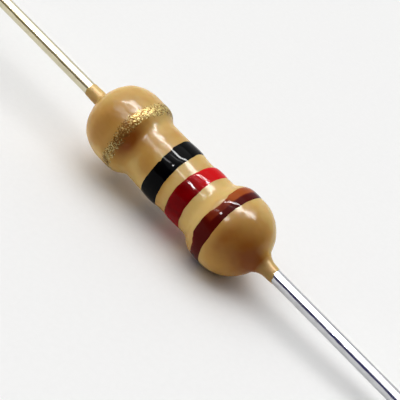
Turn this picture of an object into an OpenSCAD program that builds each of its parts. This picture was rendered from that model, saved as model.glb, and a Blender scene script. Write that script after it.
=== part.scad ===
// Axial carbon-film resistor, lying on a table on one cap swelling and on the tips of its leads.
// Every turned piece is drawn as a half section (x = radius, y = place along the body) and revolved.
// The body's axis is local X: the gold band is at the -X end, the brown band at the +X end.
// Millimetres throughout. The table is the plane z = 0, and the body's middle is over the origin.

/* [Ceramic core] */
// Diameter of the ceramic rod
rod_d = 1.46; // [1.0:0.02:2.4]
// Length of the ceramic rod
rod_len = 5.1; // [4.2:0.1:9]
// Chamfer on the rod's two end edges
rod_chamfer = 0.1; // [0.04:0.02:0.2]

/* [Carbon film] */
// Thickness of the resistive film on the rod
film_t = 0.02; // [0.01:0.005:0.05]
// Pitch of the helical cut that sets the resistance
spiral_pitch = 0.45; // [0.3:0.05:0.8]
// Width of the helical cut
spiral_cut_w = 0.12; // [0.06:0.02:0.2]
// Depth that the cut reaches into the ceramic below the film
spiral_cut_depth = 0.03; // [0.01:0.01:0.1]
// Uncut film left between the helical cut and each cap
spiral_margin = 0.2; // [0.1:0.05:0.5]

/* [End caps] */
// Wall of the pressed steel cap
cap_wall = 0.2; // [0.1:0.02:0.3]
// Length of the rod that a cap covers
cap_grip = 1.15; // [0.7:0.05:1.8]
// Radius of the cap's outer corner at its closed end
cap_corner_r = 0.28; // [0.1:0.02:0.4]
// Radius on the outer edge of the cap's mouth
cap_mouth_r = 0.06; // [0.02:0.01:0.1]
// Radial gap between the film and the cap's bore, 0 for the real press fit
cap_fit = 0; // [0:0.005:0.02]

/* [Leads] */
// Diameter of the tinned wire
lead_d = 0.4; // [0.3:0.02:0.8]
// Diameter of the flattened weld head on the cap's end face
head_d = 0.84; // [0.7:0.02:1.2]
// Thickness of the weld head
head_t = 0.09; // [0.05:0.01:0.2]
// Radius of the fillet between the weld head and the wire
head_fillet_r = 0.1; // [0.04:0.02:0.15]
// Extra radius of the wire where its weld has upset it, fading out at the end of the lacquer collar
weld_swell = 0.01; // [0.002:0.002:0.02]
// Distance from the body's middle to where each lead's straight run ends and its bow begins
lead_straight = 9; // [6:0.5:12]
// Distance from the body's middle to each lead's tip, along the body's axis
tip_reach = 30.5; // [25:0.5:38]
// Sideways run of the gold-end lead's tip, which comes down to the table
gold_tip_sweep = 1.8; // [1:0.1:2.4]
// Lean of the plane of the brown-end lead's bow, from flat on the table
brown_bow_lean = 45; // [30:1:60]

/* [Lacquer] */
// Thickness of the lacquer over the film, at the waist
coat_on_film = 0.21; // [0.12:0.01:0.35]
// Thickness of the lacquer over the caps, at the swellings
coat_on_cap = 0.25; // [0.2:0.01:0.4]
// Thickness of the lacquer collar round each lead, at the collar's end
coat_on_lead = 0.024; // [0.02:0.002:0.08]
// Extra thickness of the collar where it leaves the dome
collar_taper = 0.012; // [0.004:0.002:0.03]
// Run over which the lacquer climbs from a cap's mouth to its full thickness
crest_run = 0.35; // [0.2:0.05:0.5]
// Radius of the rounded inner edge of each swelling
shoulder_r = 0.35; // [0.25:0.05:0.6]
// Radius of the hollow where each swelling runs into the waist
waist_hollow_r = 0.35; // [0.25:0.05:0.6]
// Distance from a cap's end face back to the centre of its dome
dome_setback = 0.575; // [0.4:0.025:0.7]
// Radius of the hollow between the dome and the collar at the gold end
gold_neck_r = 0.16; // [0.1:0.02:0.6]
// Radius of the hollow between the dome and the collar at the brown end
brown_neck_r = 0.48; // [0.1:0.02:0.6]
// Distance from a cap's end face to the end of the lacquer collar
collar_reach = 1.1; // [1:0.05:1.6]

/* [Colour bands] */
// Width of the gold band
gold_band_w = 0.34; // [0.2:0.01:0.7]
// Width of the black band
black_band_w = 0.53; // [0.2:0.01:0.7]
// Width of the red band
red_band_w = 0.52; // [0.2:0.01:0.7]
// Width of the brown band
brown_band_w = 0.45; // [0.2:0.01:0.7]
// Thickness of the band paint
paint_t = 0.015; // [0.01:0.005:0.03]
// Distance from the start of the gold end's crest to the middle of the gold band
gold_crest_offset = -0.05; // [-0.1:0.01:0.15]
// Distance from the start of the brown end's crest to the middle of the brown band
brown_crest_offset = 0.12; // [-0.1:0.01:0.15]
// Distance between the middles of the brown and red bands
brown_red_pitch = 1.13; // [0.9:0.01:1.3]
// Distance between the middles of the red and black bands
red_black_pitch = 0.95; // [0.8:0.01:1.2]

/* [Resting pose] */
// Slope of the body's axis down to the brown end
lie_tilt = 4.5; // [3.5:0.1:6]

/* [Hidden] */
$fn = 96;

// Sides of the body, as multipliers of local X
GOLD_END = -1;
BROWN_END = 1;

// Radii, from the axis outwards
rod_r = rod_d / 2;
film_r = rod_r + film_t;
cap_bore_r = film_r + cap_fit;
cap_r = cap_bore_r + cap_wall;
lead_r = lead_d / 2;
head_r = head_d / 2;
waist_r = film_r + coat_on_film;
crest_r = cap_r + coat_on_cap;
weld_r = lead_r + weld_swell;
collar_end_r = lead_r + coat_on_lead;
collar_r = collar_end_r + collar_taper;

// Places along the body, measured from its middle
rod_end = rod_len / 2;
cap_mouth = rod_end - cap_grip;
cap_face = rod_end + cap_wall;
crest_start = cap_mouth + crest_run;
dome_centre = cap_face - dome_setback;
collar_end = cap_face + collar_reach;

// The hollow and the shoulder of a swelling are two arcs that touch, so their centres are a known
// distance apart, and the step in radius between waist and crest gives the run between them
arc_centres = shoulder_r + waist_hollow_r;
arc_centres_dr = arc_centres - (crest_r - waist_r);
shoulder_centre = [crest_r - shoulder_r, crest_start];
hollow_centre = [
    waist_r + waist_hollow_r,
    crest_start - sqrt(pow(arc_centres, 2) - pow(arc_centres_dr, 2)),
];

// The helical cut is centred on the body and keeps clear of the caps
spiral_run = 2 * (cap_mouth - spiral_margin) - spiral_cut_w;
spiral_turns = spiral_run / spiral_pitch;
SPIRAL_STEPS_PER_TURN = 24;
SPIRAL_OVERSHOOT = 0.05;

// Middles of the colour bands
brown_band_at = crest_start + brown_crest_offset;
red_band_at = brown_band_at - brown_red_pitch;
black_band_at = red_band_at - red_black_pitch;
gold_band_at = -(crest_start + gold_crest_offset);

// Height of the body's middle, with the brown end's swelling on the table, or the far edge of the
// brown band where its paint stands lower
brown_band_far_edge = brown_band_at + brown_band_w / 2;
axis_height = max(
    crest_r + dome_centre * sin(lie_tilt),
    (crest_r + paint_t) * cos(lie_tilt) + brown_band_far_edge * sin(lie_tilt)
);

// Each lead leaves straight and then bows evenly. The plane of its bow is rolled about the body's
// axis until the wire just touches the table, and both bows lean to +Y, so that the two leads and the
// swelling stand like a tripod.
bow_run = tip_reach - lead_straight;
// Gold end: the tip comes down to the table from the height of the body's axis there
gold_tip_drop = (axis_height - lead_r + tip_reach * sin(lie_tilt)) / cos(lie_tilt);
gold_tip_offset = sqrt(pow(gold_tip_drop, 2) + pow(gold_tip_sweep, 2));
gold_bow_r = (pow(bow_run, 2) + pow(gold_tip_offset, 2)) / (2 * gold_tip_offset);
gold_bow_roll = -atan2(gold_tip_drop, gold_tip_sweep);
// Brown end: the wire runs down the body's slope and curves up from it, so it touches the table where
// it is level. This radius puts that point on the table.
brown_bow_start = axis_height - lead_r - lead_straight * sin(lie_tilt);
brown_bow_lift = sin(brown_bow_lean) * cos(lie_tilt);
brown_bow_r = brown_bow_start
    * (brown_bow_lift + sqrt(pow(brown_bow_lift, 2) + pow(sin(lie_tilt), 2))) / pow(sin(lie_tilt), 2);

// --- Placing -------------------------------------------------------------------------------------

// Puts what is drawn about local X in its resting pose on the table
module lie() {
    translate([0, 0, axis_height]) rotate([0, lie_tilt, 0]) children();
}

// Revolves a half section about the body's axis
module turned() {
    lie() rotate([0, 90, 0]) rotate_extrude() children();
}

// Draws a section that is made for the brown end at the given end
module at_end(side) {
    if (side == BROWN_END) children();
    else mirror([0, 1]) children();
}

// --- Half sections -------------------------------------------------------------------------------

// Outside of an end cap, as a solid cup
module cap_outside() {
    depth = cap_face - cap_mouth;
    translate([0, cap_mouth]) {
        square([cap_r - cap_corner_r, depth]);
        translate([0, cap_mouth_r]) square([cap_r, depth - cap_mouth_r - cap_corner_r]);
        square([cap_r - cap_mouth_r, depth / 2]);
        translate([cap_r - cap_mouth_r, cap_mouth_r]) circle(cap_mouth_r);
        translate([cap_r - cap_corner_r, depth - cap_corner_r])
            intersection() {
                circle(cap_corner_r);
                square(cap_corner_r);
            }
    }
}

// The wire's weld head, its fillet, the upset wire under the collar, and the straight wire out to the
// given place
module lead_root(reach) {
    swell_start = cap_face + head_t + head_fillet_r;
    translate([0, cap_face]) square([head_r, head_t]);
    difference() {
        translate([0, cap_face]) square([weld_r + head_fillet_r, head_t + head_fillet_r]);
        translate([weld_r + head_fillet_r, swell_start]) circle(head_fillet_r);
    }
    polygon([[0, swell_start], [weld_r, swell_start], [lead_r, collar_end], [lead_r, reach], [0, reach]]);
}

// Outside of the lacquer from the middle to one end, grown outwards evenly by grow
module lacquer_end(neck_r, grow) {
    full_r = crest_r + grow;
    neck_centre = [
        collar_r + neck_r,
        dome_centre + sqrt(pow(crest_r + neck_r, 2) - pow(collar_r + neck_r, 2)),
    ];
    // Waist
    square([waist_r + grow, hollow_centre.y]);
    // Hollow between the waist and the swelling
    difference() {
        polygon([[0, hollow_centre.y], hollow_centre, shoulder_centre, [0, shoulder_centre.y]]);
        translate(hollow_centre) circle(waist_hollow_r - grow);
    }
    // Shoulder and crest of the swelling
    translate(shoulder_centre) circle(shoulder_r + grow);
    translate([0, crest_start]) square([full_r, dome_centre - crest_start]);
    // Dome over the cap's closed end
    translate([0, dome_centre])
        intersection() {
            circle(full_r);
            square(full_r);
        }
    // Hollow between the dome and the collar
    difference() {
        polygon([[0, dome_centre], neck_centre, [0, neck_centre.y]]);
        translate(neck_centre) circle(neck_r - grow);
    }
    // Collar along the lead, thinning outwards, with its edge bevelled at 45 degrees
    polygon([
        [0, neck_centre.y],
        [collar_r + grow, neck_centre.y],
        [collar_end_r + grow, collar_end - coat_on_lead],
        [lead_r + grow, collar_end],
        [0, collar_end],
    ]);
}

module lacquer_outside(grow = 0) {
    at_end(BROWN_END) lacquer_end(brown_neck_r, grow);
    at_end(GOLD_END) lacquer_end(gold_neck_r, grow);
}

// Everything that the lacquer was laid over
module lacquered_core() {
    translate([0, -rod_end]) square([film_r, rod_len]);
    for (side = [GOLD_END, BROWN_END])
        at_end(side) {
            cap_outside();
            lead_root(lead_straight);
        }
}

// --- Core ----------------------------------------------------------------------------------------

// Square-sided helical cutter, as deep as the film and a little of the ceramic
module spiral_cutter() {
    steps = round(spiral_turns * SPIRAL_STEPS_PER_TURN);
    inner = rod_r - spiral_cut_depth;
    outer = film_r + SPIRAL_OVERSHOOT;
    section = [[inner, -0.5], [outer, -0.5], [outer, 0.5], [inner, 0.5]];
    points = [
        for (i = [0 : steps], corner = section)
            let (turn = 360 * spiral_turns * i / steps, rise = spiral_run * (i / steps - 0.5))
            [corner.x * cos(turn), corner.x * sin(turn), rise + corner.y * spiral_cut_w]
    ];
    sides = [
        for (i = [0 : steps - 1], k = [0 : 3], half = [0, 1])
            let (a = 4 * i + k, b = 4 * i + (k + 1) % 4)
            half == 0 ? [a, b, a + 4] : [b, b + 4, a + 4]
    ];
    last = 4 * steps;
    ends = [[2, 1, 0], [3, 2, 0], [last, last + 1, last + 2], [last, last + 2, last + 3]];
    polyhedron(points, concat(sides, ends));
}

module ceramic_rod() {
    color("#e8e2d2")
    difference() {
        turned()
            polygon([
                [0, -rod_end], [rod_r - rod_chamfer, -rod_end], [rod_r, rod_chamfer - rod_end],
                [rod_r, rod_end - rod_chamfer], [rod_r - rod_chamfer, rod_end], [0, rod_end],
            ]);
        lie() rotate([0, 90, 0]) spiral_cutter();
    }
}

module carbon_film() {
    color("#26262a")
    difference() {
        turned()
            translate([rod_r, rod_chamfer - rod_end]) square([film_t, rod_len - 2 * rod_chamfer]);
        lie() rotate([0, 90, 0]) spiral_cutter();
    }
}

module end_cap(side) {
    color("#b9bbbd")
    turned()
        at_end(side)
            difference() {
                cap_outside();
                square([cap_bore_r, rod_end]);
            }
}

// --- Leads ---------------------------------------------------------------------------------------

// Weld head, straight run and bow of one lead
module end_lead(side, bow_r, roll) {
    color("#c9ccd0") {
        turned() at_end(side) lead_root(lead_straight);
        lie()
            mirror([side == GOLD_END ? 1 : 0, 0, 0])
                translate([lead_straight, 0, 0])
                    rotate([roll, 0, 0])
                        translate([0, bow_r, 0])
                            rotate([0, 0, -90])
                                rotate_extrude(angle = asin(bow_run / bow_r))
                                    translate([bow_r, 0]) circle(lead_r);
    }
}

// --- Lacquer and paint ---------------------------------------------------------------------------

module lacquer_coat() {
    color("#c79a5b")
    turned()
        difference() {
            lacquer_outside();
            lacquered_core();
        }
}

// Ring of paint on the lacquer, of the given width, centred at the given place along the body
module band(middle, width) {
    turned()
        intersection() {
            difference() {
                lacquer_outside(paint_t);
                lacquer_outside();
            }
            translate([0, middle - width / 2]) square([2 * crest_r, width]);
        }
}

module gold_band() {
    color("#b08d3c") band(gold_band_at, gold_band_w);
}

module black_band() {
    color("#101014") band(black_band_at, black_band_w);
}

module red_band() {
    color("#c1121f") band(red_band_at, red_band_w);
}

module brown_band() {
    color("#5a1a12") band(brown_band_at, brown_band_w);
}

ceramic_rod();
carbon_film();
end_cap(GOLD_END);  // gold_end_cap
end_cap(BROWN_END);  // brown_end_cap
end_lead(GOLD_END, gold_bow_r, gold_bow_roll);  // gold_end_lead
end_lead(BROWN_END, brown_bow_r, brown_bow_lean);  // brown_end_lead
lacquer_coat();
gold_band();
black_band();
red_band();
brown_band();
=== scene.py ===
"""Axial film resistor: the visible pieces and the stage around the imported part.

Laid out as a Blender add-on and run as a script. Lengths in the settings are in metres. The helper
functions work in millimetres, in the body's own frame: s runs along the body towards the brown
band, and the turn goes round it, from +Y through up.
"""

import bisect
import math

import bpy
from mathutils import Matrix, Vector, noise


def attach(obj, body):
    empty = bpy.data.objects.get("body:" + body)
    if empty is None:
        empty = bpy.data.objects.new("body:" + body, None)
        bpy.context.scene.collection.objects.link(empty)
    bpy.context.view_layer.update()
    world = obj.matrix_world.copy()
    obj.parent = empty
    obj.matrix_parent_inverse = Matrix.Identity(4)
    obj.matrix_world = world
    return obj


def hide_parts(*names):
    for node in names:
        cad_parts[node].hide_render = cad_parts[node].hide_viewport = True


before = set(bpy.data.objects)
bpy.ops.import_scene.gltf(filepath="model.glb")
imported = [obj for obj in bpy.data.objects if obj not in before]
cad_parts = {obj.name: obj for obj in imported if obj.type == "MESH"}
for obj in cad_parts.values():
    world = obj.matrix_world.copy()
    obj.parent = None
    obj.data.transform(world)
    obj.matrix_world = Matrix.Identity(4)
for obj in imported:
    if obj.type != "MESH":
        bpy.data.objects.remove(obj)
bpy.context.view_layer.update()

bl_info = {
    "name": "Axial film resistor",
    "version": (1, 0, 0),
    "blender": (4, 5, 0),
    "location": "View3D > Sidebar > Resistor",
    "description": "Builds the lacquered body, colour bands, leads and stage of an axial resistor",
    "category": "Object",
}

MM = 0.001
GOLD_END, BROWN_END = -1, 1

# Rings along each stretch of half the lacquer, from the middle out
WAIST_RINGS, BEND_RINGS, CREST_RINGS, DOME_RINGS, NECK_RINGS, COLLAR_RINGS = 40, 16, 12, 48, 14, 12
# Rings along each stretch of a lead, from the weld out
FILLET_RINGS, SWELL_RINGS, STRAIGHT_RINGS, BOW_RINGS = 8, 6, 20, 60
# Rings over and under the paint of a band
OVER_RINGS, UNDER_RINGS = 24, 6
# Points round the lacquer, a band and a wire
COAT_SIDES, BAND_SIDES, WIRE_SIDES = 256, 384, 64

# The lacquer's outline is eased over this length each way, in this many steps
EASE_REACH, EASE_STEPS = 0.2, 6
# Shares of the finer lumps and of the finest ripples beside the lacquer's slow lumps
FINE, RIPPLE = 0.4, 0.4
# Height of the crinkles across the thin collars
CRINKLE = 0.006
# Length over which the end of a collar runs out unevenly
RAGGED_REACH = 0.4
# How far the edges of the paint wander between the rows of their tables
WANDER = 0.012
# How far the edges of the paint sink into the lacquer
SUNK = 0.003
# Rounding at the rim of a weld head
RIM = 0.01
# The floor reaches this far each way, in metres
FLOOR_REACH = 0.8

# --- Tables of the hand-brushed shapes ------------------------------------------------------------

# Where the brushed lacquer stands proud or sinks: place along the body, turn round it in degrees,
# reach along, reach round in degrees, height. Lengths are in millimetres.
SAGS = (
    (2.4, 54, 0.6, 55, 0.036),
    (2.3, 234, 0.5, 50, 0.015),
    (0.38, 54, 0.28, 45, -0.045),
    (-0.26, 234, 0.4, 50, 0.036),
    (-1.43, 234, 0.18, 45, 0.035),
    (-0.95, 160, 0.3, 30, -0.012),
    (2.75, 120, 0.25, 30, -0.02),
    (-2.35, 330, 0.4, 60, 0.03),
    (0.9, 330, 0.4, 40, 0.02),
)

# Where the lacquer shows browner: partly pooled lacquer, and partly painted shade on the front,
# in the hollow by the gold band and low on the collars; the row below 0 is painted light, lighter
# than the lacquer around it. Columns: place along the body, turn round it in degrees, reach along,
# reach round in degrees, depth. A full pool is 1.
POOLS_AND_SHADE = (
    (2.98, 153, 0.6, 44, 0.85),
    (2.42, 160, 0.25, 30, 0.5),
    (2.9, 320, 0.5, 60, 0.6),
    (3.0, 112, 0.35, 25, 0.2),
    (-1.45, 160, 0.3, 36, 1.2),
    (-1.4, 320, 0.3, 60, 0.6),
    (-2.35, 165, 0.5, 30, 0.55),
    (-2.4, 340, 0.5, 50, 0.4),
    (-0.62, 166, 0.35, 18, 0.35),
    (-0.1, 172, 0.25, 34, 0.6),
    (3.6, 200, 0.5, 75, 1.3),
    (-3.6, 205, 0.4, 75, 0.9),
    (0.2, 250, 0.4, 40, 0.3),
    (1.3, 145, 0.3, 40, -0.15),
)

# Edges of each painted band as the roller left them: turn in degrees, edge towards the gold end,
# edge towards the brown end, both in millimetres from the body's middle
GOLD_EDGES = (
    (0, -1.95, -1.48),
    (60, -1.92, -1.38),
    (99, -1.92, -1.42),
    (117, -1.99, -1.50),
    (145, -2.00, -1.47),
    (173, -1.92, -1.45),
    (190, -1.95, -1.50),
    (209, -1.99, -1.54),
    (260, -1.95, -1.48),
    (320, -1.99, -1.50),
)
BLACK_EDGES = (
    (0, -0.50, 0.080),
    (60, -0.53, 0.060),
    (78, -0.539, 0.065),
    (101, -0.518, 0.087),
    (112, -0.512, 0.100),
    (119, -0.478, 0.094),
    (131, -0.469, 0.092),
    (140, -0.466, 0.099),
    (144.5, -0.436, 0.099),
    (149, -0.469, 0.100),
    (172, -0.465, 0.103),
    (188, -0.495, 0.112),
    (213, -0.525, 0.108),
    (270, -0.49, 0.100),
    (320, -0.51, 0.090),
)
RED_EDGES = (
    (0, 0.51, 1.030),
    (60, 0.55, 1.050),
    (78, 0.558, 1.051),
    (91, 0.540, 1.047),
    (110, 0.524, 1.023),
    (117, 0.504, 1.033),
    (131, 0.470, 1.038),
    (158, 0.440, 1.038),
    (172, 0.445, 1.041),
    (198, 0.466, 1.065),
    (213, 0.466, 1.080),
    (270, 0.47, 1.070),
    (320, 0.49, 1.040),
)
BROWN_EDGES = (
    (0, 1.65, 2.140),
    (60, 1.63, 2.150),
    (91, 1.612, 2.148),
    (110, 1.639, 2.137),
    (118, 1.690, 2.107),
    (131, 1.716, 2.110),
    (138, 1.699, 2.120),
    (146, 1.648, 2.134),
    (158, 1.630, 2.146),
    (172, 1.642, 2.157),
    (180, 1.642, 2.156),
    (188, 1.715, 2.148),
    (198, 1.790, 2.154),
    (213, 1.800, 2.165),
    (235, 1.74, 2.160),
    (270, 1.66, 2.150),
    (320, 1.68, 2.130),
)


# --- Settings -------------------------------------------------------------------------------------


def linear(hex_code):
    """An sRGB hex code as a linear RGBA colour."""
    values = [int(hex_code[i : i + 2], 16) / 255 for i in (1, 3, 5)]
    return [v / 12.92 if v <= 0.04045 else ((v + 0.055) / 1.055) ** 2.4 for v in values] + [1.0]


def length(name, description, value):
    """A length property with its default in millimetres."""
    return bpy.props.FloatProperty(
        name=name, description=description, default=value * MM, min=0.0, unit="LENGTH", precision=6
    )


def angle(name, description, degrees):
    """An angle property with its default in degrees."""
    return bpy.props.FloatProperty(
        name=name, description=description, default=math.radians(degrees), subtype="ANGLE"
    )


def colour(name, description, hex_code):
    """A colour property with its default as an sRGB hex code."""
    return bpy.props.FloatVectorProperty(
        name=name, description=description, default=linear(hex_code), size=4, subtype="COLOR",
        min=0.0, max=1.0,
    )


def number(name, description, value):
    """A plain number property."""
    return bpy.props.FloatProperty(name=name, description=description, default=value)


class ResistorBodySettings(bpy.types.PropertyGroup):
    """Sizes of the lacquered body: the CAD's, and its blunt end and lumps"""

    waist_r: length("Waist radius", "Radius of the lacquer over the film", 0.96)
    crest_r: length("Swelling radius", "Radius of the lacquer over each cap", 1.2)
    crest_start: length("Crest start", "From the middle to a swelling's full radius", 1.75)
    shoulder_r: length("Shoulder radius", "Round at each swelling's inner edge", 0.35)
    hollow_r: length("Hollow radius", "Hollow where a swelling meets the waist", 0.35)
    dome_centre: length("Dome centre", "From the middle to the centre of each end's dome", 2.175)
    gold_neck_r: length("Gold neck radius", "Hollow between dome and collar, gold end", 0.16)
    brown_neck_r: length("Brown neck radius", "Hollow between dome and collar, brown end", 0.48)
    collar_r: length("Collar radius", "Radius of the collar where it leaves the dome", 0.226)
    collar_end_r: length("Collar end radius", "Radius of the collar at its end", 0.214)
    collar_end: length("Collar end", "From the middle to the end of each collar", 3.85)
    blunt: length("Blunt end", "How far the gold end's dome falls short of round", 0.06)
    lump: length("Lumps", "Height of the slow lumps in the brushed lacquer", 0.012)
    lie_tilt: angle("Slope", "Slope of the body down to the brown end", 4.5)


class ResistorLeadSettings(bpy.types.PropertyGroup):
    """Sizes of the leads, as the CAD has them"""

    lead_r: length("Wire radius", "Radius of the tinned wire", 0.2)
    weld_r: length("Weld radius", "Radius of the wire where its weld has upset it", 0.21)
    head_r: length("Weld head radius", "Radius of the flattened weld head", 0.42)
    head_t: length("Weld head thickness", "Thickness of the flattened weld head", 0.09)
    fillet_r: length("Weld fillet", "Fillet between the weld head and the wire", 0.1)
    cap_face: length("Cap face", "From the middle to each cap's end face", 2.75)
    straight: length("Straight run", "From the middle to where each bow begins", 9.0)
    tip_reach: length("Tip reach", "From the middle to each tip, along the body's axis", 30.5)
    gold_sweep: length("Gold tip sweep", "Sideways run of the gold-end tip", 1.8)
    brown_lean: angle("Brown bow lean", "Lean of the brown-end bow's plane from flat", 45)


class ResistorBandSettings(bpy.types.PropertyGroup):
    """Sizes of the painted bands"""

    paint: length("Paint thickness", "Thickness of the paint at the middle of a band", 0.018)
    cad_paint: length("Even paint thickness", "Thickness of the paint in the CAD", 0.015)
    far_edge: length("Brown band's far edge", "From the middle to that edge", 2.095)


class ResistorColourSettings(bpy.types.PropertyGroup):
    """Colours of the lacquer, paints, wire, core and floor"""

    lacquer: colour("Lacquer", "Tan lacquer where it is thin", "#D6B36C")
    lacquer_deep: colour("Deep lacquer", "Tan lacquer of full thickness", "#C0924A")
    # Also the colour of the shade painted on the lacquer's front and collars
    lacquer_pool_and_shade: colour("Pooled lacquer", "Lacquer where it has pooled", "#88480F")
    collar: colour("Collar", "Lacquer over the wire", "#C2A768")
    gold: colour("Gold flakes", "Bronze flakes of the gold paint", "#CDBA7A")
    # Dull flakes, and the colour that the painted shade on the gold band's front darkens the flakes
    # towards
    gold_dark: colour("Dull flakes", "Duller flakes of the gold paint", "#6B4414")
    black: colour("Black", "Black paint", "#020203")
    # One red paint in two tones: the dark one is painted shade down the front, the light one
    # painted light over the top
    red: colour("Red", "Red paint where it is thick", "#7C0004")
    red_lit: colour("Thin red", "Red paint where it is thin", "#D20A12")
    brown: colour("Brown", "Brown paint where it is thick", "#5A0E07")
    brown_middle: colour("Middle brown", "Brown paint of middling thickness", "#7A2A12")
    brown_thin: colour("Thin brown", "Brown paint where it is thin", "#A24D1D")
    tin: colour("Tin", "Tin plating on the brown end's wire", "#CCCDCF")
    tin_yellowed: colour("Yellowed tin", "Tin plating on the gold end's wire", "#DAD3B6")
    cap: colour("Cap", "Tinned steel of the end caps", "#C4C5C7")
    ceramic: colour("Ceramic", "Ceramic of the rod", "#E6E0D0")
    carbon: colour("Carbon", "Carbon film on the rod", "#28282B")
    floor: colour("Floor", "Plain pale floor", "#F3F3F2")


class ResistorStageSettings(bpy.types.PropertyGroup):
    """Camera, lamps and room"""

    target: length("Target", "Point of the body's axis at the middle of the view", 0.871)
    distance: length("Distance", "From the camera to that point", 33.0)
    turn: angle("Turn", "How far the camera stands towards the brown end", 18.0)
    elevation: angle("Elevation", "Elevation of the camera across the body", 36.0)
    roll: angle("Roll", "Small turn of the body in the view", -0.35)
    lens: number("Lens", "Focal length in millimetres on a 36 mm sensor", 107.3)
    lamp_distance: length("Lamp distance", "From the body to every lamp", 8000.0)
    room: colour("Room", "Lit side of the room", "#DFDFDF")
    room_left: colour("Room, left", "Dim side of the room, far left", "#6F5D19")
    room_mid_left: colour("Room, mid-left", "Dim side of the room, left of the middle", "#272765")
    room_middle: colour("Room, middle", "Dim side of the room, middle", "#272761")
    room_right: colour("Room, right", "Dim side of the room, far right", "#383838")
    backdrop: colour("Backdrop", "What the camera sees past the floor", "#F3F3F3")


# --- Helpers --------------------------------------------------------------------------------------


def mm(value):
    """A length setting in millimetres."""
    return value / MM


def settings():
    """The four groups of piece settings."""
    scene = bpy.context.scene
    return scene.resistor_body, scene.resistor_leads, scene.resistor_bands, scene.resistor_colours


def axis_height():
    """Height of the body's middle in millimetres, with its lowest paint or lacquer on the table."""
    body, _, bands, _ = settings()
    slope = math.sin(body.lie_tilt)
    lacquer = mm(body.crest_r) + mm(body.dome_centre) * slope
    paint = (mm(body.crest_r) + mm(bands.cad_paint)) * math.cos(body.lie_tilt)
    return max(lacquer, paint + mm(bands.far_edge) * slope)


def lie(body):
    """The matrix from the body's own frame in millimetres to the table's in metres."""
    return (
        Matrix.Scale(MM, 4)
        @ Matrix.Translation((0, 0, axis_height()))
        @ Matrix.Rotation(body.lie_tilt, 4, "Y")
    )


def smooth(low, high, value):
    """0 at low and 1 at high, with an even curve between and no change beyond."""
    share = min(1.0, max(0.0, (value - low) / (high - low)))
    return share * share * (3 - 2 * share)


def arc(centre, radius, start, end, steps):
    """Points (s, r) of an arc; angles in radians from the +s direction."""
    turns = [start + (end - start) * i / steps for i in range(steps + 1)]
    return [
        (centre[0] + radius * math.cos(turn), centre[1] + radius * math.sin(turn))
        for turn in turns
    ]


def end_profile(body, wire_r, neck_r):
    """Half profile (s, r) of the lacquer from the middle to the end of a collar."""
    waist, crest = mm(body.waist_r), mm(body.crest_r)
    hollow, shoulder = mm(body.hollow_r), mm(body.shoulder_r)
    centres = hollow + shoulder
    fall = centres - (crest - waist)
    start, dome = mm(body.crest_start), mm(body.dome_centre)
    hollow_s = start - math.sqrt(centres**2 - fall**2)
    lean = math.atan2(fall, start - hollow_s)
    points = [(hollow_s * i / WAIST_RINGS, waist) for i in range(WAIST_RINGS)]
    points += arc((hollow_s, waist + hollow), hollow, -math.pi / 2, -lean, BEND_RINGS)
    points += arc((start, crest - shoulder), shoulder, math.pi - lean, math.pi / 2, BEND_RINGS)[1:]
    points += [(start + (dome - start) * i / CREST_RINGS, crest) for i in range(1, CREST_RINGS)]
    collar = mm(body.collar_r)
    neck_s = dome + math.sqrt((crest + neck_r) ** 2 - (collar + neck_r) ** 2)
    touch = math.atan2(collar + neck_r, neck_s - dome)
    points += arc((dome, 0), crest, math.pi / 2, touch, DOME_RINGS)
    neck = (neck_s, collar + neck_r)
    points += arc(neck, neck_r, math.pi + touch, 1.5 * math.pi, NECK_RINGS)[1:]
    end, end_r = mm(body.collar_end), mm(body.collar_end_r)
    edge = end_r - wire_r
    for i in range(1, COLLAR_RINGS + 1):
        share = i / COLLAR_RINGS
        points.append((neck_s + (end - edge - neck_s) * share, collar + (end_r - collar) * share))
    # The end rounds down to the wire
    points += [(end - edge * 0.45, end_r - edge * 0.12), (end, end_r - edge)]
    return points


def lacquer_profile(body, wire_r):
    """Whole profile (s, r) of the lacquer from the gold end's collar to the brown end's."""
    end, blunt = mm(body.collar_end), mm(body.blunt)
    # The gold end's dome falls short of round, and its collar ends where the other's does
    gold = []
    for s, r in end_profile(body, wire_r, mm(body.gold_neck_r)):
        short = blunt * smooth(2.8, 3.3, s) * (1 - smooth(3.35, end, s))
        gold.append((short - s, r))
    brown = end_profile(body, wire_r, mm(body.brown_neck_r))
    return gold[::-1] + brown[1:]


def turn_gap(a, b):
    """Smallest difference between two turns, in degrees."""
    return abs((a - b + 180) % 360 - 180)


def heaps(table, s, turn):
    """What the rows of SAGS or POOLS_AND_SHADE add up to at a place along the body and a turn in
    radians.
    """
    total = 0.0
    for place, round_at, reach, reach_round, amount in table:
        away = ((s - place) / reach) ** 2
        away += (turn_gap(math.degrees(turn), round_at) / reach_round) ** 2
        # Three reaches away a heap is too low to count
        if away < 9:
            total += amount * math.exp(-away)
    return total


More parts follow.
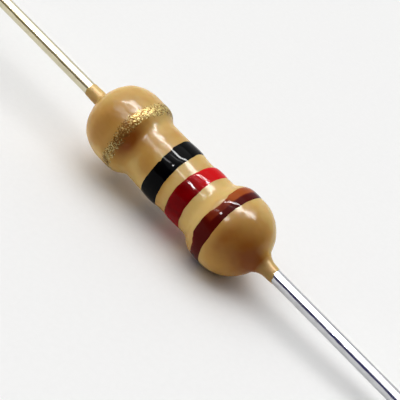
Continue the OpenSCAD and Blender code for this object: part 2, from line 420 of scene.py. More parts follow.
class Surface:
    """The lumpy outside of the lacquer, as a function of place along the body and turn round it."""

    def __init__(self, body, leads):
        self.points = lacquer_profile(body, mm(leads.lead_r))
        self.places = [s for s, _ in self.points]
        self.lump = mm(body.lump)
        self.end = mm(body.collar_end)
        # Surface tension rounds off the brushed profile, except at the necks and collars
        eased = []
        for s, r in self.points:
            reach = EASE_REACH * (1 - smooth(2.6, 3.0, abs(s)))
            total = weight = 0.0
            for i in range(-EASE_STEPS, EASE_STEPS + 1):
                share = math.exp(-((2 * i / EASE_STEPS) ** 2))
                near = self.radius(s + reach * i / EASE_STEPS)[0] if reach else r
                total += share * near
                weight += share
            eased.append((s, total / weight))
        self.points = eased

    def radius(self, s):
        """(radius, slope of the radius) at s."""
        i = bisect.bisect_right(self.places, s) - 1
        i = min(max(i, 0), len(self.points) - 2)
        (s0, r0), (s1, r1) = self.points[i], self.points[i + 1]
        slope = (r1 - r0) / (s1 - s0) if s1 > s0 else 0.0
        return r0 + slope * (s - s0), slope

    def lumps(self, s, turn, r, ripple_share):
        """Height of the lumps in millimetres: measured sags, slow swells and finer ripples."""
        at = Vector((s, r * math.cos(turn), r * math.sin(turn)))
        # About 1, 0.3 and 0.15 mm across, and crinkles 0.06 mm apart along the wire
        slow = noise.noise(Vector((at.x * 0.9 + 3.1, at.y * 1.2, at.z * 1.2)))
        fine = noise.noise(Vector((at.x * 2.6, at.y * 3.4 + 7.0, at.z * 3.4)))
        ripple = noise.noise(Vector((at.x * 5.5 + 11.0, at.y * 8.0, at.z * 8.0)))
        crinkle = noise.noise(Vector((at.x * 16.0, at.y * 6.0, at.z * 6.0 + 3.0)))
        on_body = smooth(0.25, 0.7, r)
        swell = self.lump * (slow + FINE * fine + ripple_share * ripple) + heaps(SAGS, s, turn)
        return on_body * swell + (1 - on_body) * CRINKLE * crinkle

    def ragged(self, s, turn):
        """How far a point near the end of a collar moves along the wire, where the lacquer ran."""
        if abs(s) <= self.end - RAGGED_REACH:
            return 0.0
        around = Vector((2.0 * math.cos(turn), 2.0 * math.sin(turn), s * 0.01))
        further = 0.05 * noise.noise(around)
        if s > 0:
            # The brown end's collar runs furthest low on the front
            further += 0.06 + 0.05 * math.cos(turn - math.radians(234))
        side = BROWN_END if s > 0 else GOLD_END
        return side * further * smooth(self.end - RAGGED_REACH, self.end, abs(s))

    def at(self, s, turn, rise=0.0, ripple_share=RIPPLE):
        """A point in the body's frame: rise is the height above the lacquer, along its normal."""
        r, slope = self.radius(s)
        up = self.lumps(s, turn, r, ripple_share) + rise
        norm = math.sqrt(1 + slope * slope)
        out = r + up / norm
        along = s + self.ragged(s, turn) - up * slope / norm
        return Vector((along, out * math.cos(turn), out * math.sin(turn)))


def grid_mesh(name, rows, joined=False):
    """A closed mesh from rows of points that each close round the body.

    The last row is joined to the first, or else both are filled with a cap.
    """
    vertices = [p for row in rows for p in row]
    n, count = len(rows[0]), len(rows)
    faces = []
    for i in range(count if joined else count - 1):
        here, there = i * n, (i + 1) % count * n
        for k in range(n):
            after = (k + 1) % n
            faces.append((here + k, here + after, there + after, there + k))
    if not joined:
        faces.append(tuple(range(n - 1, -1, -1)))
        faces.append(tuple((count - 1) * n + k for k in range(n)))
    mesh = bpy.data.meshes.new(name)
    mesh.from_pydata(vertices, [], faces)
    mesh.validate()
    mesh.shade_smooth()
    return mesh


def add_attribute(mesh, name, values):
    """Stores one number per vertex, for a material to read."""
    mesh.attributes.new(name, "FLOAT", "POINT").data.foreach_set("value", values)


def add_piece(mesh, material, slot, *nodes):
    """Adds a piece that rides on the part and stands for the given CAD nodes."""
    piece = bpy.data.objects.new(mesh.name, mesh)
    bpy.context.scene.collection.objects.link(piece)
    mesh.materials.append(material)
    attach(piece, "root")
    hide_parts(*nodes)


def node(tree, kind, links=None, stops=(), **values):
    """Adds a node, sets its attributes and inputs, and links its inputs to other nodes' outputs.

    A value whose name starts with in_ sets the input of that name or number. Links maps an input's
    name or number to (node, output). Stops are (position, linear colour), for a colour ramp.
    """
    new = tree.nodes.new(kind)
    for key, value in values.items():
        if not key.startswith("in_"):
            setattr(new, key, value)
    for key, value in values.items():
        if key.startswith("in_"):
            socket = key[3:].replace("_", " ")
            new.inputs[int(socket) if socket.isdigit() else socket].default_value = value
    for key, (source, output) in (links or {}).items():
        tree.links.new(source.outputs[output], new.inputs[key])
    if stops:
        elements = new.color_ramp.elements
        while len(elements) < len(stops):
            elements.new(0.5)
        for element, (position, value) in zip(elements, stops):
            element.position = position
            element.color = value
    return new


def new_material(name):
    """A new material, its node tree and its coordinates in millimetres."""
    material = bpy.data.materials.new(name)
    material.use_nodes = True
    tree = material.node_tree
    tree.nodes.clear()
    metres = node(tree, "ShaderNodeTexCoord")
    place = node(
        tree, "ShaderNodeVectorMath", {0: (metres, "Object")}, operation="SCALE", in_Scale=1 / MM
    )
    return material, tree, place


def shade(rgba, factor):
    """A colour made darker or lighter by a factor."""
    return [min(1.0, factor * v) for v in rgba[:3]] + [1.0]


# --- Materials ------------------------------------------------------------------------------------


def lacquer_material(colours):
    """Epoxy lacquer, brushed on thick and baked.

    Glossy over a tan body that lets a little light through; browner where it has pooled and where
    shade is painted on, on the front and low on the collars, a little lighter where light is
    painted on the waist, and duller where it thins out along the wire, with a trace of the metal
    under it.
    """
    material, tree, place = new_material("tan_epoxy_lacquer")
    # Thick and thin patches, 1.1 mm across, over the pools and the painted shade and light
    patch = node(tree, "ShaderNodeTexNoise", {"Vector": (place, 0)}, in_Scale=0.9, in_Detail=3.0)
    # Pooled lacquer, partly painted shade and painted light
    pool = node(tree, "ShaderNodeAttribute", attribute_name="pool")
    depth = node(
        tree, "ShaderNodeMath", {0: (patch, "Fac"), 2: (pool, "Fac")},
        operation="MULTIPLY_ADD", in_1=0.9,
    )
    half = node(tree, "ShaderNodeMath", {0: (depth, 0)}, operation="MULTIPLY", in_1=0.5)
    tint = node(
        tree, "ShaderNodeValToRGB", {"Fac": (half, 0)},
        stops=[(0.2, colours.lacquer), (0.33, colours.lacquer_deep), (0.75, colours.lacquer_pool_and_shade)],
    )
    thin = node(tree, "ShaderNodeAttribute", attribute_name="thin")
    collar = node(
        tree, "ShaderNodeMix", {"Factor": (thin, "Fac"), 6: (tint, 0)},
        data_type="RGBA", in_7=colours.collar,
    )
    metal = node(tree, "ShaderNodeMath", {0: (thin, "Fac")}, operation="MULTIPLY", in_1=0.06)
    gloss = node(
        tree, "ShaderNodeMapRange", {"Value": (thin, "Fac")},
        in_From_Max=0.6, in_To_Min=0.25, in_To_Max=0.42,
    )
    # Orange peel of the baked lacquer, 0.2 mm across: 5 to the millimetre
    peel = node(tree, "ShaderNodeTexNoise", {"Vector": (place, 0)}, in_Scale=5.0, in_Detail=2.0)
    bump = node(
        tree, "ShaderNodeBump", {"Height": (peel, "Fac")}, in_Strength=0.3, in_Distance=0.012 * MM
    )
    shader = node(
        tree, "ShaderNodeBsdfPrincipled",
        {
            "Base Color": (collar, 2),
            "Metallic": (metal, 0),
            "Roughness": (gloss, 0),
            "Normal": (bump, 0),
        },
        in_IOR=1.5, in_Specular_IOR_Level=0.13, in_Subsurface_Weight=0.4,
        in_Subsurface_Radius=(1.0, 0.4, 0.12), in_Subsurface_Scale=0.25 * MM,
    )
    node(tree, "ShaderNodeOutputMaterial", {"Surface": (shader, 0)})
    return material


def enamel_material(name, tone, pale_tone=None, middle_tone=None):
    """Enamel paint, rolled on in one pass: smooth and glossy, with faint roller streaks.

    With a pale tone, the paint is that colour where its depth and painted shade come to 0: for the
    red, that is painted light over the top, and its full tone is painted shade down the front. With
    a middle tone too, its pigment is mixed unevenly, so that it is nearly black where it lies thick
    and clear where it has run thin.
    """
    material, tree, place = new_material(name)
    # Roller streaks, 0.2 mm apart: 5 to the millimetre
    streak = node(tree, "ShaderNodeTexNoise", {"Vector": (place, 0)}, in_Scale=5.0, in_Detail=3.0)
    if middle_tone:
        depth = node(tree, "ShaderNodeAttribute", attribute_name="depth")
        # Uneven mixing, 0.14 mm across: 7 to the millimetre
        cloud = node(
            tree, "ShaderNodeTexNoise", {"Vector": (place, 0)}, in_Scale=7.0, in_Detail=3.0
        )
        mixed = node(
            tree, "ShaderNodeMath", {0: (cloud, "Fac"), 2: (depth, "Fac")},
            operation="MULTIPLY_ADD", in_1=0.35,
        )
        tint = node(
            tree, "ShaderNodeValToRGB", {"Fac": (mixed, 0)},
            stops=[(0.3, pale_tone), (0.55, middle_tone), (0.8, tone), (1.0, shade(tone, 0.8))],
        )
        base = (tint, 0)
    else:
        tint = node(
            tree, "ShaderNodeValToRGB", {"Fac": (streak, "Fac")},
            stops=[(0.35, shade(tone, 0.75)), (0.65, tone)],
        )
        base = (tint, 0)
        # For the red: painted light over the top, painted shade down the front
        if pale_tone:
            depth = node(tree, "ShaderNodeAttribute", attribute_name="depth")
            mixed = node(
                tree, "ShaderNodeMix", {"Factor": (depth, "Fac"), 7: (tint, 0)},
                data_type="RGBA", in_6=pale_tone,
            )
            base = (mixed, 2)
    bump = node(
        tree, "ShaderNodeBump", {"Height": (streak, "Fac")},
        in_Strength=0.15, in_Distance=0.005 * MM,
    )
    shader = node(
        tree, "ShaderNodeBsdfPrincipled", {"Base Color": base, "Normal": (bump, 0)},
        in_Roughness=0.07, in_IOR=1.5, in_Specular_IOR_Level=0.045,
    )
    node(tree, "ShaderNodeOutputMaterial", {"Surface": (shader, 0)})
    return material


def gold_material(colours):
    """Bronze-flake paint, rolled on thin.

    Separate flat flakes, each tilted its own way, so that some glint and the rest show the dark of
    the room, with shade painted on the flakes high on the front; between them and at the edges the
    lacquer shows.
    """
    material, tree, place = new_material("bronze_flake_paint")
    # Flakes 0.03 mm across: 34 to the millimetre
    flakes = node(
        tree, "ShaderNodeTexVoronoi", {"Vector": (place, 0)}, in_Scale=34.0, feature="F1"
    )
    pick = node(tree, "ShaderNodeSeparateColor", {"Color": (flakes, "Color")})
    # Painted shade: the flakes are darker high on the front, towards the brown end; each flake's
    # own tone varies at random too
    depth = node(tree, "ShaderNodeAttribute", attribute_name="depth")
    flake_tone_and_shade = node(
        tree, "ShaderNodeMath", {0: (depth, "Fac"), 2: (pick, 0)},
        operation="MULTIPLY_ADD", in_1=-0.6,
    )
    tint = node(
        tree, "ShaderNodeValToRGB", {"Fac": (flake_tone_and_shade, 0)},
        stops=[(0.2, colours.gold_dark), (0.8, colours.gold)],
    )
    # Tilt of each flake: height rises across the flake in its own random direction
    offset = node(
        tree, "ShaderNodeVectorMath", {0: (place, 0), 1: (flakes, "Position")},
        operation="SUBTRACT",
    )
    lean = node(
        tree, "ShaderNodeVectorMath", {0: (flakes, "Color")},
        operation="SUBTRACT", in_1=(0.5, 0.5, 0.5),
    )
    height = node(
        tree, "ShaderNodeVectorMath", {0: (offset, 0), 1: (lean, 0)}, operation="DOT_PRODUCT"
    )
    bump = node(
        tree, "ShaderNodeBump", {"Height": (height, "Value")}, in_Strength=0.4, in_Distance=MM
    )
    # Cover: dense in the middle of the band, sparse at its edges
    cover = node(tree, "ShaderNodeAttribute", attribute_name="cover")
    there = node(
        tree, "ShaderNodeMath", {0: (pick, 1), 1: (cover, "Fac")}, operation="LESS_THAN"
    )
    shader = node(
        tree, "ShaderNodeBsdfPrincipled",
        {"Base Color": (tint, 0), "Alpha": (there, 0), "Normal": (bump, 0)},
        in_Metallic=0.22, in_Roughness=0.5, in_Specular_IOR_Level=0.05,
    )
    node(tree, "ShaderNodeOutputMaterial", {"Surface": (shader, 0)})
    return material


def wire_material(name, tone):
    """Copper-clad steel wire, drawn and tin plated: bright, with fine marks along its length."""
    material, tree, place = new_material(name)
    # Dull patches of the plating, 0.3 mm across: 3 to the millimetre
    patch = node(tree, "ShaderNodeTexNoise", {"Vector": (place, 0)}, in_Scale=3.0, in_Detail=4.0)
    tint = node(
        tree, "ShaderNodeValToRGB", {"Fac": (patch, "Fac")},
        stops=[(0.3, shade(tone, 0.86)), (0.6, tone)],
    )
    gloss = node(
        tree, "ShaderNodeMapRange", {"Value": (patch, "Fac")},
        in_From_Min=0.3, in_From_Max=0.7, in_To_Min=0.22, in_To_Max=0.12,
    )
    # Draw marks 0.02 mm apart, drawn twice as coarse so that they show: 24 to the millimetre
    stretch = node(
        tree, "ShaderNodeVectorMath", {0: (place, 0)}, operation="MULTIPLY", in_1=(0.6, 24.0, 24.0)
    )
    marks = node(
        tree, "ShaderNodeTexNoise", {"Vector": (stretch, 0)}, in_Scale=1.0, in_Detail=3.0
    )
    bump = node(
        tree, "ShaderNodeBump", {"Height": (marks, "Fac")},
        in_Strength=0.5, in_Distance=0.006 * MM,
    )
    shader = node(
        tree, "ShaderNodeBsdfPrincipled",
        {"Base Color": (tint, 0), "Roughness": (gloss, 0), "Normal": (bump, 0)}, in_Metallic=1.0,
    )
    node(tree, "ShaderNodeOutputMaterial", {"Surface": (shader, 0)})
    return material


def core_material(name, tone, metallic, roughness, grain_mm, depth_mm):
    """A hidden core piece: its colour, and a grain of the given size and depth."""
    material, tree, place = new_material(name)
    grain = node(
        tree, "ShaderNodeTexNoise", {"Vector": (place, 0)}, in_Scale=1 / grain_mm, in_Detail=2.0
    )
    tint = node(
        tree, "ShaderNodeValToRGB", {"Fac": (grain, "Fac")},
        stops=[(0.3, shade(tone, 0.85)), (0.7, tone)],
    )
    bump = node(
        tree, "ShaderNodeBump", {"Height": (grain, "Fac")},
        in_Strength=0.3, in_Distance=depth_mm * MM,
    )
    shader = node(
        tree, "ShaderNodeBsdfPrincipled", {"Base Color": (tint, 0), "Normal": (bump, 0)},
        in_Metallic=metallic, in_Roughness=roughness,
    )
    node(tree, "ShaderNodeOutputMaterial", {"Surface": (shader, 0)})
    return material


def card_material(colours):
    """Matt card: pale and plain, with a faint tooth and no shine."""
    material, tree, place = new_material("matt_card")
    # Tooth 0.17 mm across: 6 to the millimetre
    tooth = node(tree, "ShaderNodeTexNoise", {"Vector": (place, 0)}, in_Scale=6.0)
    tint = node(
        tree, "ShaderNodeValToRGB", {"Fac": (tooth, "Fac")},
        stops=[(0.3, shade(colours.floor, 0.985)), (0.7, colours.floor)],
    )
    shader = node(
        tree, "ShaderNodeBsdfPrincipled", {"Base Color": (tint, 0)},
        in_Roughness=0.9, in_Specular_IOR_Level=0.0,
    )
    node(tree, "ShaderNodeOutputMaterial", {"Surface": (shader, 0)})
    return material


# --- Pieces ---------------------------------------------------------------------------------------


class RESISTOR_OT_lacquer_coat(bpy.types.Operator):
    """Build the tan lacquer coat over the body"""

    bl_idname = "resistor.lacquer_coat"
    bl_label = "Lacquer coat"

    def execute(self, context):
        body, leads, _, colours = settings()
        surface = Surface(body, leads)
        pose = lie(body)
        turns = [2 * math.pi * k / COAT_SIDES for k in range(COAT_SIDES)]
        rows, thin, pools_and_shade = [], [], []
        for s, r in surface.points:
            rows.append([pose @ surface.at(s, turn) for turn in turns])
            # The coat is thin only over the wire
            thin += [0.6 - 0.6 * smooth(0.22, 0.34, r)] * COAT_SIDES
            # Pooled lacquer, with painted shade on the front and low on the collars, and painted
            # light on the waist
            pools_and_shade += [heaps(POOLS_AND_SHADE, s, turn) for turn in turns]
        mesh = grid_mesh("lacquer_skin", rows)
        add_attribute(mesh, "thin", thin)
        add_attribute(mesh, "pool", pools_and_shade)
        add_piece(mesh, lacquer_material(colours), "lacquer", "lacquer_coat")
        return {"FINISHED"}


def edges_at(table, turn):
    """The two edges of a band at a turn in degrees, curved evenly between the table's rows."""
    for start, end in zip(table, table[1:] + table[:1]):
        reach = (end[0] - start[0]) % 360
        past = (turn - start[0]) % 360
        if past <= reach:
            share = smooth(0, 1, past / reach)
            return tuple(a + (b - a) * share for a, b in zip(start[1:], end[1:]))
    raise ValueError("the table of edges has no row for this turn")


def build_band(name, node_name, table, material, slot, seed, build=1.0, peak=0.0, **measures):
    """A ring of paint on the lacquer, with the edges that the table gives.

    Build is its share of the usual thickness of paint, and peak is where it lies thickest: -1 is
    the edge towards the gold end, 1 the other. Each measure becomes a mesh attribute for the
    material. It is a function of the turn in degrees and of the share of the way across from the
    edge towards the gold end.
    """
    body, leads, bands, _ = settings()
    surface = Surface(body, leads)
    pose = lie(body)
    paint = mm(bands.paint) * build
    rows, places = [], []
    columns = [(j / OVER_RINGS, True) for j in range(OVER_RINGS + 1)]
    columns += [(1 - j / UNDER_RINGS, False) for j in range(1, UNDER_RINGS)]
    for share, outer in columns:
        row = []
        for k in range(BAND_SIDES):
            turn = 2 * math.pi * k / BAND_SIDES
            degrees = math.degrees(turn)
            left, right = edges_at(table, degrees)
            around = 3.0 * math.cos(turn), 3.0 * math.sin(turn)
            left += WANDER * noise.noise(Vector((*around, seed)))
            right += WANDER * noise.noise(Vector((*around, seed + 5.0)))
            v = 2 * share - 1
            v = (v - peak) / (1 + peak if v < peak else 1 - peak)
            rise = paint * (1 - v * v) - SUNK if outer else -3 * SUNK
            s = left + (right - left) * share
            # The lacquer's ripples show at the edges and level out under the thickest paint
            row.append(pose @ surface.at(s, turn, rise, RIPPLE * v * v))
            places.append((degrees, share))
        rows.append(row)
    mesh = grid_mesh(name, rows, joined=True)
    for measure, value_at in measures.items():
        add_attribute(mesh, measure, [value_at(*place) for place in places])
    add_piece(mesh, material, slot, node_name)


def gold_cover(_degrees, share):
    """Share of the gold band that flakes cover: dense in the middle, sparse at the edges."""
    return 0.8 * smooth(0.0, 0.45, share) * smooth(0.0, 0.4, 1 - share)


def gold_painted_shade(degrees, share):
    """Painted shade on the gold paint: darkest high on the front, towards the brown end."""
    return smooth(124, 140, degrees) * smooth(190, 160, degrees) * (0.5 + 0.5 * share)


def red_painted_light(degrees, _share):
    """Painted light and shade on the red paint: lightest over the top, darkest down the front, less
    dark again underneath.
    """
    return smooth(108, 146, degrees) * (1 - 0.7 * smooth(190, 260, degrees))


def brown_depth(degrees, share):
    """Depth of the brown paint: run thin over the top, in its half towards the gold end.

    It is a little thin low on the front, too, and all along its edge towards the gold end.
    """
    top = 0.4 * smooth(124, 110, degrees) + 0.6 * smooth(160, 148, degrees)
    top *= smooth(20, 60, degrees)
    thin = top * smooth(0.62, 0.45, share)
    low = smooth(175, 190, degrees) * smooth(0.35, 0.1, share) if degrees < 270 else 0.0
    edge = smooth(0.12, 0.0, share)
    return 0.85 - 0.75 * thin - 0.3 * low - 0.35 * edge


class RESISTOR_OT_colour_bands(bpy.types.Operator):
    """Build the gold, black, red and brown bands"""

    bl_idname = "resistor.colour_bands"
    bl_label = "Colour bands"

    def execute(self, context):
        colours = settings()[-1]
        gold = gold_material(colours)
        black = enamel_material("black_enamel", colours.black)
        red = enamel_material("red_enamel", colours.red, colours.red_lit)
        brown = enamel_material(
            "brown_enamel", colours.brown, colours.brown_thin, colours.brown_middle
        )
        build_band(
            "gold_ring", "gold_band", GOLD_EDGES, gold, "gold_paint",
            seed=1.0, build=0.4, cover=gold_cover, depth=gold_painted_shade,
        )
        build_band(
            "black_ring", "black_band", BLACK_EDGES, black, "black_paint",
            seed=2.0, peak=0.4,
        )
        # The red band's tone by turn is painted light and shade
        build_band(
            "red_ring", "red_band", RED_EDGES, red, "red_paint",
            seed=3.0, build=1.5, peak=-0.7, depth=red_painted_light,
        )
        build_band(
            "brown_ring", "brown_band", BROWN_EDGES, brown, "brown_paint",
            seed=4.0, depth=brown_depth,
        )
        return {"FINISHED"}


def lead_path(leads, body, side):
    """(point, direction) along a lead's bow from its start to its tip, and its first direction."""
    tilt, radius = body.lie_tilt, mm(leads.lead_r)
    straight, reach = mm(leads.straight), mm(leads.tip_reach)
    height = axis_height()
    run = reach - straight
    if side == GOLD_END:
        # This bow ends with its tip on the table
        drop = (height - radius + reach * math.sin(tilt)) / math.cos(tilt)
        sweep = mm(leads.gold_sweep)
        offset = math.hypot(drop, sweep)
        bow_r = (run**2 + offset**2) / (2 * offset)
        roll = -math.atan2(drop, sweep)
    else:
        # This bow rests on the table with its belly
        start = height - radius - straight * math.sin(tilt)
        lift = math.sin(leads.brown_lean) * math.cos(tilt)
        bow_r = start * (lift + math.sqrt(lift**2 + math.sin(tilt) ** 2)) / math.sin(tilt) ** 2
        roll = leads.brown_lean
    swing = math.asin(run / bow_r)
    sideways = Vector((0, math.cos(roll), math.sin(roll)))
    along = Vector((side, 0, 0))
    path = []
    for i in range(BOW_RINGS + 1):
        a = swing * i / BOW_RINGS
        ahead, aside = straight + bow_r * math.sin(a), bow_r * (1 - math.cos(a))
        direction = along * math.cos(a) + sideways * math.sin(a)
        path.append((along * ahead + sideways * aside, direction))
    return path, along


def lead_rings(leads, body, side):
    """(centre, direction, radius) of each ring of a lead, from its weld head to its tip."""
    r, weld, head = mm(leads.lead_r), mm(leads.weld_r), mm(leads.head_r)
    face, fillet, thick = mm(leads.cap_face), mm(leads.fillet_r), mm(leads.head_t)
    end, straight = mm(body.collar_end), mm(leads.straight)
    swell = face + thick + fillet
    root = [(face, head - RIM), (face + RIM, head), (face + thick - RIM, head)]
    root += arc((swell, weld + fillet), fillet, math.pi, 1.5 * math.pi, FILLET_RINGS)
    root += [
        (swell + (end - swell) * i / SWELL_RINGS, weld + (r - weld) * i / SWELL_RINGS)
        for i in range(1, SWELL_RINGS + 1)
    ]
    root += [(end + (straight - end) * i / STRAIGHT_RINGS, r) for i in range(1, STRAIGHT_RINGS)]
    path, along = lead_path(leads, body, side)
    rings = [(along * s, along, radius) for s, radius in root]
    rings += [(point, direction, r) for point, direction in path]
    # Burr left where the tip was cut
    tip, direction, _ = rings.pop()
    for back, less in ((0.02, 0.0), (0.006, 0.006), (0.0, 0.022)):
        rings.append((tip - direction * back, direction, r - less))
    return rings


class RESISTOR_OT_leads(bpy.types.Operator):
    """Build the two tinned leads with their weld heads"""

    bl_idname = "resistor.leads"
    bl_label = "Leads"

    def execute(self, context):
        body, leads, _, colours = settings()
        pose = lie(body)
        bright = wire_material("tinned_drawn_wire", colours.tin)
        # A haze of lacquer baked on to this end's tin has yellowed it
        yellowed = wire_material("yellowed_tinned_wire", colours.tin_yellowed)
        turns = [2 * math.pi * k / WIRE_SIDES for k in range(WIRE_SIDES)]
        for name, side, node_name, material in (
            ("gold_end_wire", GOLD_END, "gold_end_lead", yellowed),
            ("brown_end_wire", BROWN_END, "brown_end_lead", bright),
        ):
            rows = []
            for point, direction, radius in lead_rings(leads, body, side):
                across = direction.cross(Vector((0, 0, 1))).normalized()
                up = across.cross(direction)
                outs = [math.cos(turn) * across + math.sin(turn) * up for turn in turns]
                rows.append([pose @ (point + radius * out) for out in outs])
            add_piece(grid_mesh(name, rows), material, "tinned_wire", node_name)
        return {"FINISHED"}


class RESISTOR_OT_core(bpy.types.Operator):
    """Finish the rod, film and caps under the lacquer"""

    bl_idname = "resistor.core"
    bl_label = "Core"

    def execute(self, context):
        colours = settings()[-1]
        # Tin over pressed steel: a soft metal shine with fine scuffs
        cap = core_material(
            "tinned_pressed_steel", colours.cap,
            metallic=1.0, roughness=0.3, grain_mm=0.08, depth_mm=0.001,
        )
        # Fired alumina: off-white and matt, with a fine grain
        rod = core_material(
            "alumina_ceramic", colours.ceramic,
            metallic=0.0, roughness=0.7, grain_mm=0.05, depth_mm=0.004,
        )
        # Carbon grown from hot gas: dark grey, with a slight sheen
        film = core_material(
            "pyrolytic_carbon", colours.carbon,
            metallic=0.0, roughness=0.35, grain_mm=0.03, depth_mm=0.001,
        )
        for name, material in (
            ("ceramic_rod", rod),
            ("carbon_film", film),
            ("gold_end_cap", cap),
            ("brown_end_cap", cap),
        ):
            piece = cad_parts[name]
            piece.data.materials.clear()
            piece.data.materials.append(material)
        return {"FINISHED"}


# --- Stage ----------------------------------------------------------------------------------------

# The lamps, each by what the body sees of it, with all angles in degrees: name, angle up from the
# camera's side, lean to the brown end, angles that it spans along and across the body, its turn
# from being in line with the body, radiance, and whether it shows in gloss only
LAMPS = (
    ("softbox", 60, -28, 80, 56, 8, 1.24, False),
    ("front_panel", 24, -24, 60, 44, 0, 0.8, True),
    ("key_tube", 59, -12, 70, 5, 22, 130, True),
    ("faint_tube", 45, -8, 40, 2.5, 18, 16, True),
    ("small_lamp", 16, -15, 4, 5, 0, 200, True),
    ("left_lamp", 17, -31, 20, 5, 0, 25, True),
)


def look(camera_or_lamp, position, x_axis, y_axis):
    """Places a camera or lamp from its own right and up directions."""
    z_axis = x_axis.cross(y_axis)
    m = Matrix((x_axis, y_axis, z_axis)).transposed().to_4x4()
    m.translation = position
    camera_or_lamp.matrix_world = m


def add_floor(colours):
    """A flat sheet of card under the resistor."""
    mesh = bpy.data.meshes.new("floor")
    reach = FLOOR_REACH
    corners = [(-reach, -reach, 0), (reach, -reach, 0), (reach, reach, 0), (-reach, reach, 0)]
    mesh.from_pydata(corners, [], [(0, 1, 2, 3)])
    mesh.materials.append(card_material(colours))
    floor = bpy.data.objects.new("floor", mesh)
    bpy.context.scene.collection.objects.link(floor)


def add_camera(stage, target, axes):
    """The camera, turned towards the brown end from z, with the body from corner to corner."""
    a, z, p = axes
    turn, roll = stage.turn, stage.roll
    to_camera = math.sin(turn) * a + math.cos(turn) * z
    u = math.cos(turn) * a - math.sin(turn) * z
    # The body's own line in the view, and the line square to it
    e_u = math.cos(roll) * u - math.sin(roll) * p
    e_p = math.sin(roll) * u + math.cos(roll) * p
    data = bpy.data.cameras.new("camera")
    data.sensor_width = 36.0
    data.lens = stage.lens
    data.clip_start = 0.001
    data.clip_end = 10.0
    camera = bpy.data.objects.new("camera", data)
    bpy.context.scene.collection.objects.link(camera)
    right, top = (e_u + e_p).normalized(), (e_p - e_u).normalized()
    look(camera, target + to_camera * stage.distance, right, top)
    bpy.context.scene.camera = camera


def add_lamp(stage, target, axes, name, across, along, long, wide, twist, radiance, glint):
    """A rectangular lamp from a row of LAMPS."""
    a, z, p = axes
    across, along = math.radians(across), math.radians(along)
    back = math.cos(along) * (math.cos(across) * z + math.sin(across) * p)
    back = (back + math.sin(along) * a).normalized()
    data = bpy.data.lights.new(name, "AREA")
    data.shape = "RECTANGLE"
    data.size = 2 * stage.lamp_distance * math.tan(math.radians(long) / 2)
    data.size_y = 2 * stage.lamp_distance * math.tan(math.radians(wide) / 2)
    data.energy = 4 * radiance * data.size * data.size_y
    lamp = bpy.data.objects.new(name, data)
    bpy.context.scene.collection.objects.link(lamp)
    lamp.visible_diffuse = not glint
    right = (a - a.dot(back) * back).normalized()
    right = Matrix.Rotation(math.radians(twist), 3, back) @ right
    look(lamp, target + back * stage.lamp_distance, right, back.cross(right))


def add_world(stage):
    """A room lit from above, behind and the left, and a pale backdrop."""
    world = bpy.data.worlds.new("room")
    bpy.context.scene.world = world
    world.use_nodes = True
    tree = world.node_tree
    tree.nodes.clear()
    place = node(tree, "ShaderNodeTexCoord")
    split = node(tree, "ShaderNodeSeparateXYZ", {"Vector": (place, "Generated")})
    # Dim side: warm to the left, cool in the middle
    across = node(
        tree, "ShaderNodeMapRange", {"Value": (split, "X")}, in_From_Min=-0.5, in_From_Max=0.5
    )
    dim = node(
        tree, "ShaderNodeValToRGB", {"Fac": (across, 0)},
        stops=[
            (0.0, stage.room_left),
            (0.35, stage.room_mid_left),
            (0.5, stage.room_middle),
            (0.8, stage.room_right),
        ],
    )
    facing = node(
        tree, "ShaderNodeVectorMath", {0: (place, "Generated")},
        operation="DOT_PRODUCT", in_1=(-0.5, 0.45, 0.74),
    )
    lit = node(
        tree, "ShaderNodeMapRange", {"Value": (facing, "Value")},
        interpolation_type="SMOOTHSTEP", in_From_Min=-0.1, in_From_Max=0.75,
    )
    room = node(
        tree, "ShaderNodeMix", {"Factor": (lit, 0), 6: (dim, 0)}, data_type="RGBA", in_7=stage.room
    )
    # Past the floor the camera sees a backdrop as pale as the floor; gloss mirrors the room
    ray = node(tree, "ShaderNodeLightPath")
    seen = node(
        tree, "ShaderNodeMix", {"Factor": (ray, "Is Camera Ray"), 6: (room, 2)},
        data_type="RGBA", in_7=stage.backdrop,
    )
    back = node(tree, "ShaderNodeBackground", {"Color": (seen, 2)}, in_Strength=1.0)
    node(tree, "ShaderNodeOutputWorld", {"Surface": (back, 0)})


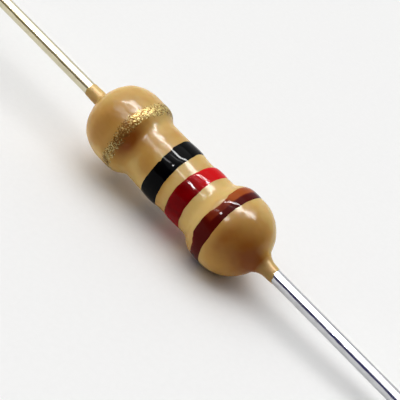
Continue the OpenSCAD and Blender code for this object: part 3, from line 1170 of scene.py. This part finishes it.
class RESISTOR_OT_stage(bpy.types.Operator):
    """Build the floor, the camera, the lamps and the world"""

    bl_idname = "resistor.stage"
    bl_label = "Stage"

    def execute(self, context):
        body, _, _, colours = settings()
        stage = context.scene.resistor_stage
        # Directions: a runs down the body's axis, z towards the camera across it, p up the view
        tilt, rise = body.lie_tilt, stage.elevation
        a = Vector((math.cos(tilt), 0, -math.sin(tilt)))
        up = Vector((math.sin(tilt), 0, math.cos(tilt)))
        z = Vector((0, -math.cos(rise), 0)) + math.sin(rise) * up
        p = Vector((0, math.sin(rise), 0)) + math.cos(rise) * up
        target = (Vector((0, 0, axis_height())) + mm(stage.target) * a) * MM
        add_floor(colours)
        add_camera(stage, target, (a, z, p))
        for lamp in LAMPS:
            add_lamp(stage, target, (a, z, p), *lamp)
        add_world(stage)
        context.scene.view_settings.view_transform = "Standard"
        return {"FINISHED"}


class RESISTOR_PT_panel(bpy.types.Panel):
    """Lists the resistor's builders"""

    bl_idname = "RESISTOR_PT_panel"
    bl_label = "Resistor"
    bl_space_type = "VIEW_3D"
    bl_region_type = "UI"
    bl_category = "Resistor"

    def draw(self, context):
        for operator in OPERATORS:
            self.layout.operator(operator.bl_idname)


OPERATORS = (
    RESISTOR_OT_lacquer_coat,
    RESISTOR_OT_colour_bands,
    RESISTOR_OT_leads,
    RESISTOR_OT_core,
    RESISTOR_OT_stage,
)
GROUPS = {
    "resistor_body": ResistorBodySettings,
    "resistor_leads": ResistorLeadSettings,
    "resistor_bands": ResistorBandSettings,
    "resistor_colours": ResistorColourSettings,
    "resistor_stage": ResistorStageSettings,
}


def register():
    for cls in (*GROUPS.values(), *OPERATORS, RESISTOR_PT_panel):
        bpy.utils.register_class(cls)
    for name, group in GROUPS.items():
        setattr(bpy.types.Scene, name, bpy.props.PointerProperty(type=group))


def unregister():
    for name in GROUPS:
        delattr(bpy.types.Scene, name)
    for cls in (RESISTOR_PT_panel, *reversed(OPERATORS), *reversed(list(GROUPS.values()))):
        bpy.utils.unregister_class(cls)


def main():
    register()
    bpy.ops.resistor.core()
    bpy.ops.resistor.lacquer_coat()
    bpy.ops.resistor.colour_bands()
    bpy.ops.resistor.leads()
    bpy.ops.resistor.stage()


if __name__ == "__main__":
    main()
